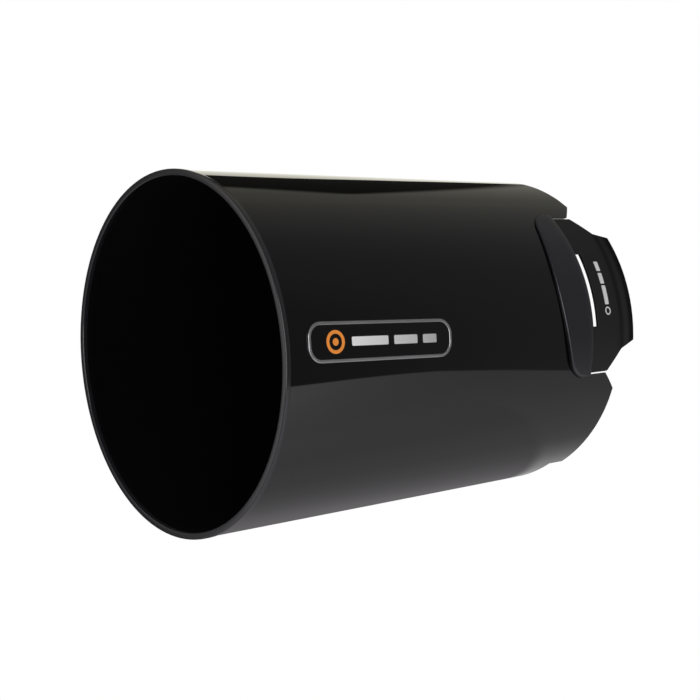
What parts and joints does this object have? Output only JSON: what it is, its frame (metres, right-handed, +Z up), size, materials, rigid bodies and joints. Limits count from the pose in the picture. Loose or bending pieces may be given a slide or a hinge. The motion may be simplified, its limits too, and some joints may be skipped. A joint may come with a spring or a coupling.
{
  "type": "telescope dew shield",
  "caption": "Glossy black cylindrical dew shield for a Schmidt-Cassegrain telescope, felt lined and open at both ends, with flexing soft-touch side tabs that grip the front cell.",
  "frame": {"origin": "on the tube's axis, in the plane of the shell's rear edge, where the telescope's front cell enters", "axes": "+Z up, +Y along the tube's axis towards the telescope, front opening towards -Y, +X towards the side with the badge and the right-hand tab"},
  "size_m": [0.2458, 0.3305, 0.241],
  "materials": {
    "gloss_shell": "high-gloss black moulded plastic",
    "satin_trim": "satin dark grey edge trim",
    "black_felt": "dense black felt",
    "badge_black": "black badge inlay",
    "badge_silver": "satin silver",
    "badge_orange": "orange enamel",
    "soft_touch": "matte soft-touch moulding",
    "inner_plastic": "matte black",
    "pad_rubber": "matte black rubber",
    "screw_steel": "plain steel"
  },
  "bodies": {
    "hood": {"shell": "gloss_shell", "front_trim": "satin_trim", "felt_liner": "black_felt", "badge_plate": "badge_black", "badge_border": "badge_silver", "badge_emblem": "badge_orange", "badge_dashes": "badge_silver", "right_grip_lip": "soft_touch", "left_grip_lip": "soft_touch", "right_clamp_bar": "inner_plastic", "left_clamp_bar": "inner_plastic", "tab_screws": "screw_steel"},
    "right_tab": {"right_tab_plate": "soft_touch", "right_tab_pad": "pad_rubber"},
    "left_tab": {"left_tab_plate": "soft_touch", "left_tab_pad": "pad_rubber"}
  },
  "joints": [
    {"name": "right_tab_flex", "type": "hinge", "parent": "hood", "child": "right_tab", "pos_m": [0.10508, -0.036, 0.03577], "axis": [0.3223, 0, -0.9466], "range_deg": [-2, 8], "stiffness_Nm_per_rad": 4},
    {"name": "left_tab_flex", "type": "hinge", "parent": "hood", "child": "left_tab", "pos_m": [-0.10508, -0.036, -0.03577], "axis": [-0.3223, 0, 0.9466], "range_deg": [-2, 8], "stiffness_Nm_per_rad": 4}
  ]
}
